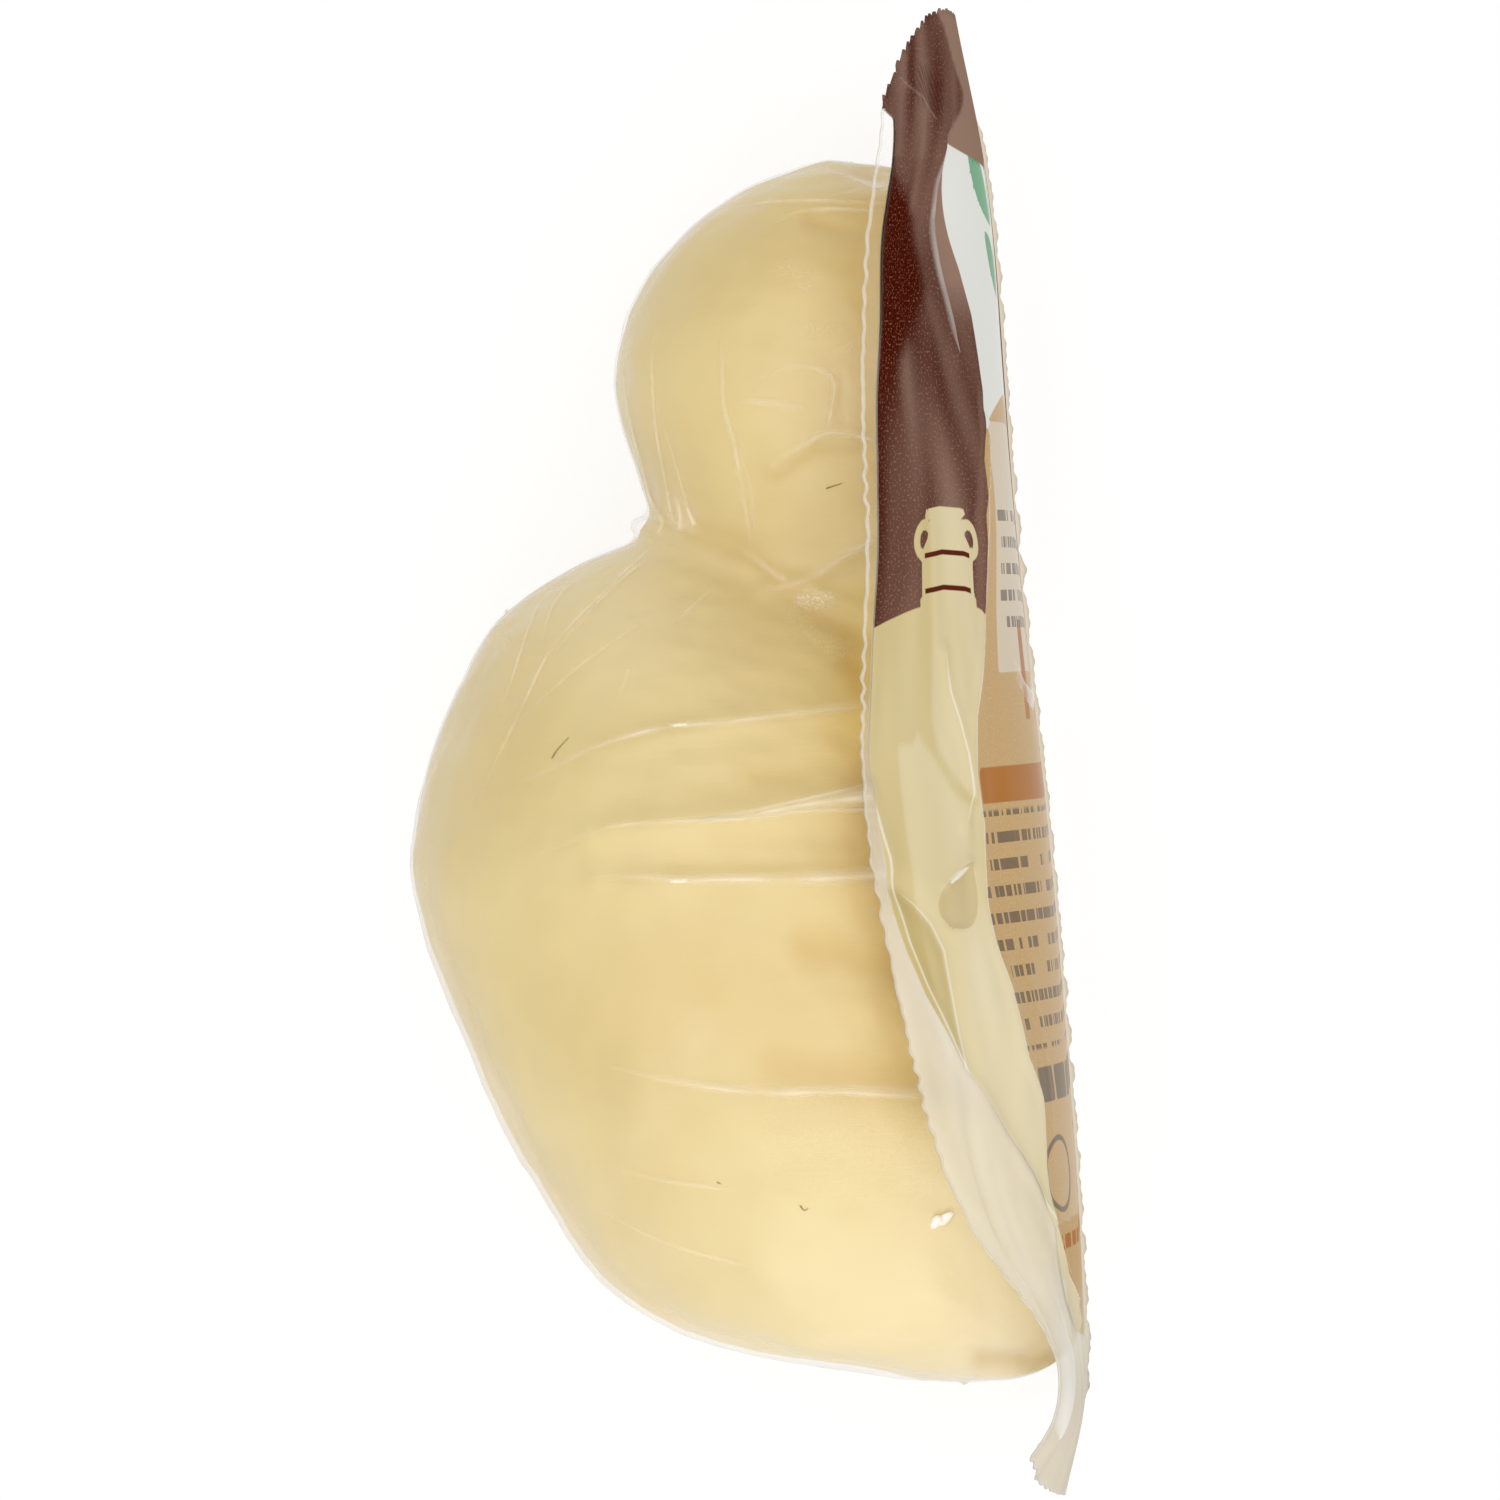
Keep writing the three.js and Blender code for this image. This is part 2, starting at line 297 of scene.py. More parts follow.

# Painted shade and light on the curd: deeper beside the lid, brighter under it at the neck, paler at base and
# shoulder.
beside_lid = np.exp(-np.maximum(to_lid - 12 + 3 * (by_y > 16), 0) / 2.5) * upper
in_neck = np.clip((by_y + 4) / 6, 0, 1) * np.clip((18 - by_y) / 6, 0, 1)
hollow = np.maximum(hollow, 0.7 * beside_lid * (1 - in_neck) * np.clip((by_y + 36) / 6, 0, 1))
under_lid = 0.6 * beside_lid * in_neck
pale = 0.22 * np.clip((-28 - by_y) / 30, 0, 1)
pale += 0.5 * np.exp(-np.maximum(to_lid - 8, 0) / 5) * np.clip((-36 - by_y) / 8, 0, 1) * upper
pale += 0.16 * np.exp(-(((plan - (-11.5, 13.0)) / 9) ** 2).sum(-1)) * upper

relief *= np.clip((to_lid - 1.5) / 4, 0, 1)
slack = 0.12 * swell(wrapped, 9, 8) + 0.05 * swell(wrapped, 3.5, 9)
wrapped = wrapped + outward * (relief + slack - 0.1)[..., None]
edge_on = np.clip((0.42 - np.abs(outward[..., 2])) / 0.12, 0, 1)
loose = edge_on * np.clip((4 - plan[..., 1]) / 25, 0.1, 1) * np.clip((12 - plan[..., 0]) / 4, 0, 1)
gap = FILM_DEPTH + 0.08 * swell(wrapped, 14, 3).clip(-1, 1) + 0.5 * loose
cheese_points = wrapped - outward * gap[..., None]
inner_poles = poles + np.array([[0, FILM_DEPTH, 0], [0, -FILM_DEPTH, 0]])

# Stretched curd: cream yellow, waxy and a little translucent. Its deeper yellow in the hollows and beside the
# lid is painted shade, and its brighter and paler patches are painted light.
# Faint fibres run along the way the curd was pulled.
curd, tree = blank_material("smoked_stretched_curd")
place = add(tree, "TexCoord", out="Object")
mottle = add(tree, "TexNoise", {"Vector": place, "Scale": 1 / 0.018, "Detail": 4.0})
patches = add(tree, "MapRange", {"Value": mottle, "From Min": 0.3, "From Max": 0.7})
colour = add(tree, "Mix", {"Factor": patches, "A": ink("#d6be80"), "B": ink("#dfca8e")}, data_type="RGBA")
# Painted light and shade mixed into the colour: paler patches, deeper yellow in the hollows and beside the
# lid, brighter yellow under the lid at the neck.
for key, code in [("pale", "#fff3cf"), ("hollow", "#c99e46"), ("under_lid", "#ffdd74")]:
    share = add(tree, "Attribute", out="Fac", attribute_name=key)
    colour = add(tree, "Mix", {"Factor": share, "A": colour, "B": ink(code)}, data_type="RGBA")
pulled = add(tree, "Mapping", {"Vector": place, "Scale": (0.15, 1.0, 1.0)})
fibre = add(tree, "TexNoise", {"Vector": pulled, "Scale": 1 / 0.0006, "Detail": 2.0})
bumps = add(tree, "Bump", {"Height": fibre, "Strength": 0.1, "Distance": 0.0003})
body = add(tree, "BsdfPrincipled", {"Base Color": colour, "Roughness": 0.5, "Normal": bumps})
add(tree, "OutputMaterial", {"Surface": body})

piece(
    "cheese", np.concatenate([cheese_points.reshape(-1, 3), inner_poles]), skin_faces, curd, "cheese",
    hollow=np.append(0.5 * hollow.ravel(), [0, 0]).clip(0, 1),
    under_lid=np.append(under_lid.ravel(), [0, 0]),
    pale=np.append(pale.ravel(), [0.22, 0]),
)

# Clear film
# A clear shrink film, about 0.1 mm thick, drawn down hot over the cheese under vacuum and sealed to the lid.
# It bridges the neck, and its slack has gathered into fine creases that run to the lid.
NECK_BRIDGE = 1.0  # how far the film stands off the bottom of the neck
NECK_WIDTH = 1.4

bridge = NECK_BRIDGE * np.exp(-(from_neck / NECK_WIDTH) ** 2)
film_points = wrapped + outward * bridge[..., None]

# Shrink film: colourless and glossy. It shows the cheese, mirrors the room, mostly at a glancing angle, and
# turns milky where it is creased.
clear, tree = blank_material("clear_shrink_film")
milky = add(tree, "Attribute", out="Fac", attribute_name="milky")
place = add(tree, "TexCoord", out="Object")
# Fine white dots of painted sparkle, added to the milkiness where the film glints.
grain = add(tree, "TexNoise", {"Vector": place, "Scale": 1 / 0.0003, "Detail": 0.0})
dots = add(tree, "MapRange", {"Value": grain, "From Min": 0.55, "From Max": 0.7})
bubbly = add(tree, "Attribute", out="Fac", attribute_name="bubbles")
milky = add(tree, "Math", {0: dots, 1: bubbly, 2: milky}, operation="MULTIPLY_ADD", use_clamp=True)
gloss = add(tree, "Attribute", out="Fac", attribute_name="gloss")
glance = add(tree, "Fresnel", {"IOR": 1.3})
from_within = add(tree, "NewGeometry", out="Backfacing")
outside = add(tree, "Math", {0: gloss, 1: from_within}, operation="SUBTRACT", use_clamp=True)
mirror = add(tree, "Math", {0: glance, 1: outside}, operation="MULTIPLY")
see = add(tree, "BsdfTransparent")
shine = add(tree, "BsdfGlossy", {"Roughness": 0.3})
sheet = add(tree, "MixShader", {0: mirror, 1: see, 2: shine})
milk = add(tree, "BsdfDiffuse", {"Color": ink("#f9edcf")})
both = add(tree, "MixShader", {0: milky, 1: sheet, 2: milk})
add(tree, "OutputMaterial", {"Surface": both})

# Haze of the film, where it is loose at the sides and in patches: strength, half width and plan.
haze = 0.03 + 0.02 * swell(wrapped, 18, 12) + 0.25 * loose * np.clip((plan[..., 1] + 64) / 12, 0.2, 1)
for strength, half_width, path in [
    (0.1, 1.8, [(-6.6, -26.2), (-10.9, -32.6), (-13.3, -36.1), (-17.1, -40)]),
    (0.2, 0.9, [(2, -57.5), (11.1, -58.2), (18, -59)]),
    (0.15, 3, [(12, 36.5), (12, 33)]),
    (0.35, 1.4, [(-5.4, 24.6), (-4.6, 22.6)]),
    (0.3, 0.8, [(6.4, 14.2), (8.6, 14)]),
]:
    haze += strength * np.exp(-((from_path(plan, path) / half_width) ** 2))
# Painted sparkles on the film, fine white dots that stand in for tiny reflections: strength, half width and
# plan.
bubbles = np.zeros(haze.shape)
for strength, half_width, path in [
    (0.3, 0.9, [(6.2, 14.2), (7.5, 13.8), (8.6, 14)]),
    (0.2, 1.2, [(5.4, 12.3), (7.8, 10.3), (10, 8.6)]),
    (0.25, 0.7, [(9, 40.2), (10.3, 40.3), (11.8, 40.1)]),
    (0.25, 0.6, [(12.1, 37.9), (13.2, 38.1)]),
    (0.2, 1, [(7.2, 46.3), (8.1, 45.5), (9.2, 44.9)]),
    (0.08, 5, [(3, -38), (12, -39.5)]),
]:
    patch = strength * np.exp(-((from_path(plan, path) / half_width) ** 4))
    bubbles = np.maximum(bubbles, patch * (wrapped[..., 2] > 0))
film = piece(
    "clear_film", np.concatenate([film_points.reshape(-1, 3), poles]), skin_faces, clear, "clear_film",
    milky=np.append(haze.ravel(), [0.3, 0.3]).clip(0, 1),
    gloss=np.ones(haze.size + 2),
    bubbles=np.append(bubbles.ravel(), [0, 0]),
)
film.visible_shadow = False  # so clear that it throws none
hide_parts("scamorza_in_clear_film")

# Film creases
# Low folds of the same film, into which its slack gathered as it shrank. They run from the lid over the
# cheese and are milky where the film is folded sharply. Each is a thin strip that lies on the film.

# Milkiness of a crease and of the band beside it, half width at each end, height, and plan from the lid out.
CREASES = [
    (0.5, 0.3, 0.9, 0.45, 0.3, [
        (14, 3.3), (11.5, 3.2), (7.7, 3.3), (-2.9, 2.8), (-6.7, 2.9), (-10.1, 2.6), (-15.2, 1.4),
        (-19.1, -0.1), (-24, -2.3)]),
    (0.3, 0.6, 1.6, 0.3, 0.4, [(15, -5.4), (10.8, -5.5), (5.9, -5.6), (-0.4, -6.2), (-6.1, -6.4)]),
    (0.6, 0.1, 0.45, 0.3, 0.3, [
        (15, -3.7), (10.8, -4.3), (5.8, -5), (-0.3, -5.8), (-4.1, -6.2), (-8.2, -6.2)]),
    (0.6, 0.2, 0.5, 0.45, 0.4, [
        (15, -7), (10.6, -6.7), (5.7, -6.2), (-0.5, -6.6), (-4.1, -6.4), (-13.1, -6.1), (-15.9, -6.6),
        (-19.6, -8), (-23, -9)]),
    (0.45, 0.45, 1.3, 0.4, 0.4, [
        (15, -13.2), (10.7, -13), (3.7, -12.8), (-4.2, -12.1), (-8, -12), (-10.8, -11.3),
        (-16.7, -11)]),
    (0.3, 0.35, 1.3, 0.4, 0.3, [
        (17, -34.8), (13.2, -34.6), (5.4, -33.4), (-0.4, -33.1), (-6.2, -32.1), (-12.9, -30.4),
        (-19, -28.4)]),
    (0.35, 0.1, 0.45, 0.35, 0.2, [
        (-5, -42.2), (-7.1, -41.8), (-11.3, -40.9), (-14.6, -39.9), (-18.5, -38.2)]),
    (0.35, 0.1, 0.45, 0.35, 0.2, [
        (-3, -50.2), (-6, -49.2), (-11.7, -47.1), (-15, -45.4), (-19.8, -42.4)]),
    (0.55, 0.15, 0.5, 0.45, 0.25, [
        (-6.6, 21.7), (-8.9, 19.9), (-11.3, 17.9), (-16.3, 13.6), (-18.6, 11.3), (-20.1, 8.7), (-22.2, 5),
        (-24.6, 1), (-27.6, -4.4)]),
    (0.3, 0.2, 0.5, 0.35, 0.2, [(-8, 19.8), (-11.9, 17), (-16, 13.2), (-19, 9.8)]),
    (0.4, 0.1, 0.4, 0.35, 0.2, [(-15.4, 18.3), (-17.6, 16.3), (-18.8, 13.8), (-19.3, 10.8)]),
    (0.4, 0.15, 0.4, 0.35, 0.2, [(-18.9, 17), (-20.3, 14.2), (-21.5, 11.2), (-22.6, 8.5), (-24.5, 4.4)]),
    (0.3, 0.1, 0.4, 0.35, 0.2, [(-8.8, 13.5), (-11.3, 12.2), (-14.5, 10.3), (-18.5, 7.5), (-22.6, 3.8)]),
    (0.4, 0.1, 0.4, 0.35, 0.2, [(-2, 16.2), (-4.3, 14.4), (-6.6, 12.4)]),
    (0.3, 0.2, 0.4, 0.35, 0.2, [(-23.1, 13.6), (-22.4, 12)]),
    (0.2, 0.2, 0.5, 0.35, 0.15, [(-10.8, 9), (-12.2, 6)]),
    (0.55, 0.15, 0.55, 0.4, 0.3, [
        (-5.6, 22), (-6, 26.2), (-6.4, 29.9), (-6.6, 34.6), (-6.2, 40.4), (-5.3, 43.4)]),
    (0.4, 0.1, 0.45, 0.35, 0.25, [(-3.8, 22.8), (-4.4, 25.8), (-5, 28.7), (-6, 33.4)]),
    (0.55, 0.15, 0.55, 0.45, 0.3, [
        (1.9, 18.9), (1.7, 21), (1.3, 25.5), (0.9, 30.1), (0.2, 33.4), (0.4, 37.8), (0.9, 43)]),
    (0.35, 0.1, 0.4, 0.35, 0.2, [(2.2, 20.6), (2.2, 25.4), (1.7, 27.8), (0.8, 32.3)]),
    (0.3, 0.3, 0.6, 0.45, 0.2, [
        (-7, 22.7), (-7.8, 25.7), (-8.4, 29.2), (-9.1, 33.2), (-9.4, 38.4), (-8.4, 43.3)]),
    (0.5, 0.15, 0.5, 0.45, 0.3, [
        (10, 30), (10.7, 32.5), (11.2, 35), (10.6, 35.9), (6.7, 36.9), (5.1, 36.1), (2.4, 34.4)]),
    (0.15, 0.25, 0.8, 0.5, 0.15, [(8.4, 32.5), (3.8, 33.6), (0.8, 33.9)]),
    (0.55, 0.2, 0.7, 0.5, 0.35, [
        (15.4, 28.8), (13.3, 29.4), (11.9, 29.8), (10, 30.1), (7.9, 29.2), (6, 28.2), (3.6, 26.5)]),
    (0.4, 0.25, 0.8, 0.45, 0.3, [
        (14.4, 19.8), (12.2, 18.7), (10.3, 17.8), (7.6, 16.3), (5.4, 15.6), (2, 15.4)]),
    (0.3, 0.25, 0.8, 0.5, 0.2, [(5.2, 15.9), (4.5, 16.3), (3.2, 17.4), (1.6, 18.8), (0.6, 19.8)]),
    (0.55, 0.3, 0.6, 0.5, 0.35, [(18.6, 52), (15.8, 52.2), (12, 52.7), (7.5, 53.1), (2.6, 53.3)]),
    (0.35, 0.35, 0.6, 0.5, 0.25, [(18.6, 51.2), (15.7, 51.5), (11.9, 51.9), (8.5, 51.8), (6, 50.6)]),
    (0.45, 0.1, 0.5, 0.4, 0.25, [(18.4, 53.2), (16.3, 53.9), (15, 54.7), (12.6, 56)]),
    (0.3, 0.2, 0.5, 0.4, 0.2, [(18.4, 53.8), (16.2, 53.7), (13.9, 53.4), (11.8, 53.4)]),
    (0.9, 0.5, 0.7, 0.6, 0.4, [(-5, 21.8), (-4.9, 23.5), (-5.1, 25.6)]),
    (0.7, 0.4, 0.5, 0.5, 0.3, [(-3.5, 22.2), (-4.1, 23.9), (-4.5, 25)]),
    (0.4, 0.4, 0.5, 0.4, 0.3, [(-7.4, 21.8), (-6.8, 22.6), (-7.2, 24.6)]),
    # The last two are painted glints: short strokes of full milkiness that stand in for small highlights.
    (1, 0.6, 0.3, 0.3, 0.2, [(-5.6, 2.9), (-6.7, 2.95), (-7.8, 2.9)]),
    (1, 0.6, 0.3, 0.3, 0.2, [(-6.9, -12), (-8, -12), (-9.1, -11.9)]),
]
CREASE_STEPS = 80
CREASE_COLUMNS = 15
CREASE_SHARPNESS = 0.32  # half width of the sharp middle of a crease
LIFT = 0.03  # a crease starts this far above the film
FAR_SIDE_CREASES = 30  # so many of them are repeated on the side that is underneath


def on_film(plan, side):
    """The film's point and normal over a point of the plan, on the upper (1) or the lower (-1) side: the
    nearest point of the grid, moved along its tangent plane by half a millimetre at most."""
    facing = outward[..., 2] * side > 0.12
    points, normals = film_points[facing], outward[facing]
    gap = ((plan[:, None, :] - points[None, :, :2]) ** 2).sum(-1)
    near = gap.argmin(1)
    point, normal = points[near], normals[near]
    slide = plan - point[:, :2]
    slide = slide * np.minimum(1, 0.5 / np.maximum(np.linalg.norm(slide, axis=1, keepdims=True), 1e-6))
    rise = -(slide * normal[:, :2]).sum(-1, keepdims=True) / normal[:, 2:]
    return point + np.concatenate([slide, rise], 1), normal


def crease(line, band, start_width, end_width, height, plan, side=1, seed=0):
    """A low rounded fold carried along a smooth path on the film. Its cross-section is a narrow bell, with a
    wide milky band beside it, and it fades out at both ends of the path."""
    plan = np.array(plan, float)
    knots = np.concatenate([[0], np.cumsum(np.linalg.norm(np.diff(plan, axis=0), axis=1))])
    share = np.linspace(0, 1, CREASE_STEPS)
    path, normal = on_film(through(np.column_stack([knots, plan]), share * knots[-1]), side)
    path = smooth_along(path, 25)
    normal = smooth_along(normal, 25)
    tangent = np.gradient(path, axis=0)
    across = np.cross(normal, tangent)
    across /= np.linalg.norm(across, axis=1, keepdims=True)
    offset = np.linspace(-1, 1, CREASE_COLUMNS)
    width = start_width + (end_width - start_width) * share**0.7
    bell = np.exp(-(offset[None, :] * width[:, None] / CREASE_SHARPNESS) ** 2) * (1 - offset**2)
    skirt = (1 - np.abs(offset)) * (1 - 0.4 * offset)
    fade = np.clip(share / 0.12, 0, 1) * np.clip((1 - share) / 0.4, 0, 1) ** 1.2
    fade = fade * (1 + 0.4 * swell(path, 5, seed))
    raised = LIFT + height * (0.25 * bell + 0.35 * skirt**2) * fade[:, None]
    points = path[:, None] + across[:, None] * (offset * width[:, None])[..., None]
    points = points + normal[:, None] * raised[..., None]
    milky = (0.36 * line * bell + 0.95 * band * skirt) * fade[:, None]
    return points, milky.clip(0, 1), (skirt * fade[:, None]).clip(0, 1)


def strip_faces(rows, columns, first=0):
    """Quads of a grid of points, row by row."""
    a = np.arange(rows - 1)[:, None] * columns + np.arange(columns - 1) + first
    return np.stack([a, a + 1, a + columns + 1, a + columns], -1).reshape(-1, 4)


def crease_faces(count):
    """Faces of several creases, numbered on from each to the next."""
    each = CREASE_STEPS * CREASE_COLUMNS
    strips = [strip_faces(CREASE_STEPS, CREASE_COLUMNS, n * each) for n in range(count)]
    return np.concatenate(strips).tolist()


folds = [crease(*values, seed=n) for n, values in enumerate(CREASES)]
folds += [
    crease(*values, [(x, y + 2.5 * np.sin(n)) for x, y in plan], side=-1, seed=100 + n)
    for n, (*values, plan) in enumerate(CREASES[:FAR_SIDE_CREASES])
]
creases = piece(
    "film_creases",
    np.concatenate([points.reshape(-1, 3) for points, _, _ in folds]),
    crease_faces(len(folds)),
    clear,
    "clear_film",
    milky=np.concatenate([milky.ravel() for _, milky, _ in folds]),
    gloss=np.concatenate([gloss.ravel() for _, _, gloss in folds]),
)
creases.visible_shadow = False

# Smoke marks
# Stray brown fibres and specks from the smoke, a millimetre or two long. They are as thin as a hair and cling
# to the film.
MARKS = [
    [(-19.2, 0.7), (-18.6, 1.5), (-17.3, 2.7)],
    [(9.4, 24.7), (10.2, 24.9), (11.1, 25.1)],
    [(-6.6, -41.3), (-6.2, -41.5)],
    [(1.2, -44.2), (1.6, -44.7), (2.0, -44.5)],
]
# Browned plant fibre: dull, and darker than the curd.
smoke, tree = blank_material("smoke_brown_fibre")
fleck = add(tree, "BsdfPrincipled", {"Base Color": ink("#8a7342"), "Roughness": 0.6})
add(tree, "OutputMaterial", {"Surface": fleck})
threads = [crease(0, 0, 0.07, 0.03, 0.05, plan)[0] for plan in MARKS]
piece(
    "smoke_marks",
    np.concatenate([points.reshape(-1, 3) for points in threads]),
    crease_faces(len(threads)),
    smoke,
    "cheese",
)

# White lump
# A small white lump, about two millimetres long. It is uneven, longer than it is wide, and lies on the
# outside of the film.
CRUMB_HALF = np.array([1.15, 0.55, 0.35])  # half its length, width and height
CRUMB_AT = np.array([[14.5, -46.8]])
CRUMB_WAY = (2.4, 1.3, 0)  # it points this way in the plan
CRUMB_LIFT = 0.15  # its middle lies this far above the film
CRUMB_GRID = (24, 32)

# Dull white.
crumb_curd, tree = blank_material("white_curd_crumb")
crumb_body = add(tree, "BsdfPrincipled", {"Base Color": ink("#fffaf0"), "Roughness": 0.5})
add(tree, "OutputMaterial", {"Surface": crumb_body})

# An ellipsoid, swollen unevenly and laid along the film.
under_crumb, crumb_up = on_film(CRUMB_AT, 1)
way = np.cross(np.cross(crumb_up, CRUMB_WAY), crumb_up)
way = way / np.linalg.norm(way)
crumb_axes = np.concatenate([way, np.cross(crumb_up, way), crumb_up])
polar = np.linspace(0, np.pi, CRUMB_GRID[0] + 2)[1:-1, None]
turn = np.linspace(0, 2 * np.pi, CRUMB_GRID[1], endpoint=False)[None, :]
polar, turn = np.broadcast_arrays(polar, turn)
ball = np.stack([-np.cos(polar), np.sin(polar) * np.sin(turn), np.sin(polar) * np.cos(turn)], -1) * CRUMB_HALF
ball = np.concatenate([ball.reshape(-1, 3), [(-CRUMB_HALF[0], 0, 0), (CRUMB_HALF[0], 0, 0)]])
ball *= 1 + 0.25 * swell(ball, 1.2, 51)[:, None]
crumb_points = under_crumb + CRUMB_LIFT * crumb_up + ball @ crumb_axes
piece("curd_crumb", crumb_points, ring_faces(*CRUMB_GRID), crumb_curd, "cheese")

# Printed lid film
# A printed film that closes the pack behind the cheese, heat-sealed to the clear film all round and cut with
# a pinked edge. Its upper flange bends forward, and its print stops short of the long edges.
LID_THICKNESS = 0.24
UPPER_WIDTH = 42.5
LOWER_WIDTH = REST_DEPTH
LID_BOTTOM = -75
LID_TOP = 70.5
BOTTOM_CORNER = (6, 30)  # how far the corner cuts in, and its reach
TOP_CORNER = (9.4, 24)
FOLD_RUN = 6  # the dome turns into the flange over this length
BEND_STEPS = 80
LID_ROWS = 400
FAR_TOOTH = 1.3  # pitch of the pinking along the lower edge
NEAR_TOOTH = 2.15  # and along the upper edge
END_TOOTH = 1.7  # and across both ends
FAR_TOOTH_DEPTH = 0.09
NEAR_TOOTH_DEPTH = 0.22
BOTTOM_TOOTH_DEPTH = 0.3
TOP_TOOTH_DEPTH = 0.9
TAIL_CURL = 1.8  # the corner at the tail curls forward by this much


def lid_sheet(across, y):
    """A point of the lid from its place on the flat sheet. Above the middle the bend angle grows evenly over
    the dome and then turns to the flange's own angle, and is summed along the sheet. Below it is flat."""
    crest, curvature, fold, flange = np.moveaxis(through(LID, y), -1, 0)
    step = np.maximum(across, 0) / BEND_STEPS
    forward, out = np.zeros_like(step), np.zeros_like(step)
    for i in range(BEND_STEPS):
        at = (i + 0.5) * step
        turn = np.clip((at - fold) / FOLD_RUN, 0, 1)
        turn = turn * turn * (3 - 2 * turn)
        bend = curvature * np.minimum(at, fold) * (1 - turn) + np.radians(flange) * turn
        forward += np.sin(bend) * step
        out += np.cos(bend) * step
    lower = np.minimum(across, 0)
    return np.stack([crest - forward - lower * np.sin(LOWER_LEAN), y, out + lower * np.cos(LOWER_LEAN)], -1)


def corner_inset(corner, from_edge):
    """How far a rounded corner cuts into the sheet: a parabola that starts at its reach from the edge."""
    drop, reach = corner
    return drop * np.maximum(1 - from_edge / reach, 0) ** 2


def swept(points, y):
    """The s of a boundary on the sheet at each y, from points in order of falling y."""
    points = np.array(points, float)[::-1]
    return np.interp(y, points[:, 1], points[:, 0])


def leaf_shape(root, tip, half_width, belly=1.0):
    """Distance into a leaf on the sheet: its half width rises and falls as a sine from root to tip, and is
    greatest nearer to the root where belly is less than one."""
    way = np.subtract(tip, root)
    length = np.linalg.norm(way)
    along = np.clip((on_sheet - root) @ way / length**2, 0, 1) ** belly
    beside = (on_sheet - root) @ np.array([-way[1], way[0]]) / length
    return half_width * np.sin(np.pi * along) ** 0.8 - np.abs(beside) - 0.1


# The sheet is laid out flat in s, across it, and y, along it.
columns = np.concatenate([
    np.linspace(-LOWER_WIDTH, 0, 34, endpoint=False),
    np.linspace(0, 22, 32, endpoint=False),
    np.linspace(22, UPPER_WIDTH, 52),
])
from_edge = np.minimum(UPPER_WIDTH - columns, columns + LOWER_WIDTH)
pinked = np.abs(np.sin(np.pi * columns / END_TOOTH))
bottom = LID_BOTTOM + corner_inset(BOTTOM_CORNER, from_edge) + BOTTOM_TOOTH_DEPTH * pinked
top = LID_TOP - corner_inset(TOP_CORNER, from_edge) - TOP_TOOTH_DEPTH * pinked
y = bottom + (top - bottom) * np.linspace(0, 1, LID_ROWS)[:, None]
drift = 1.5 * np.sin(y / 5)
teeth = np.sin(2 * np.pi * y / FAR_TOOTH + drift)
waves = np.sin(2 * np.pi * y / NEAR_TOOTH + 2 * drift) * (0.6 + 0.4 * np.sin(y / 3.1))
waves = waves - 0.6 * np.sin(y / 1.9) ** 2
near_edge = np.clip((columns - UPPER_WIDTH + 2) / 2, 0, 1)
far_edge = np.clip((-LOWER_WIDTH + 2 - columns) / 2, 0, 1)
s = columns + NEAR_TOOTH_DEPTH * (waves - 1) * near_edge + FAR_TOOTH_DEPTH * (1 - teeth) * far_edge
on_sheet = np.stack([s, y], -1)

# Folds of the lid, as points (s, y) from the head down.
UPPER_FOLD = [
    (24.1, 69.6), (21.9, 67.9), (16.7, 64.2), (13.6, 62.3), (14.7, 61.2), (19.2, 59), (21.3, 57),
    (21.4, 53.5), (20.8, 50.9), (20.2, 46.8), (20, 42.4), (20.2, 40.1), (21, 36),
]
FACE_FOLD = [
    (16.6, 30.1), (22.2, 22.3), (23.4, 16.5), (23.9, 12.6), (24.8, 8.8), (26.3, 4.6), (27.6, 1.3),
    (28.4, -4.3), (27.9, -8.8), (28.7, -12.7), (29.6, -16.7), (29.5, -20.4), (28.6, -24.9), (28.5, -31.7),
    (26.5, -35.8), (26.7, -42.1), (25.9, -48.4), (23.1, -53.1), (15, -57.9),
]
CREAM_FOLD = [(30.9, 8.1), (30.6, 4.1), (29.9, 1.4), (29.2, -2), (29, -6), (30.5, -9)]
MARGIN_FOLD = [
    (41.4, -4.5), (40.3, -11.4), (40.3, -15.4), (39.8, -19.6), (38.7, -23.9), (35.6, -33), (30.3, -42.3),
    (22.4, -52), (18.4, -55.7),
]
CORNER_FOLD = [
    (40, -14.2), (38, -16), (36.4, -18.1), (35.5, -20.7), (35.6, -24.9), (35.9, -32.2), (37, -40.7),
    (37.5, -50), (36.5, -53),
]
CORNER_STREAK = [(28.2, -51), (28.4, -55), (31, -58.8), (33, -61.2), (34, -65), (35, -68.5)]
DENT_RIDGE = [(30.8, -12.6), (32.7, -13.7), (34.1, -14.6)]
# Height, half width, half width of the line of light on it, strength of that line, path.
LID_FOLDS = [
    (0.5, 0.9, 0.45, 0.28, UPPER_FOLD[6:]),
    (0.35, 0.7, 0.09, 0.4, FACE_FOLD),
    (0.2, 0.6, 0.15, 0.08, [(40, 63.6), (35.4, 62.5), (30.8, 61.5), (26.1, 60), (22.8, 58.7)]),
    (0.3, 0.7, 0.1, 0.45, CREAM_FOLD),
    (0.4, 0.5, 0.3, 0.6, DENT_RIDGE),
    (0.3, 0.8, 0.12, 0.45, MARGIN_FOLD),
    (-0.5, 1.3, 0.12, 0.35, CORNER_FOLD),
    (0.3, 1.5, 3.5, 0.8, CORNER_STREAK),
]
lengthwise = np.stack([s, y * 0.22], -1)
free = np.clip((s - 18) / 10, 0, 1)
ripple = (0.2 * swell(lengthwise, 7, 21) + 0.05 * swell(lengthwise, 2.4, 22)) * free
glints = []
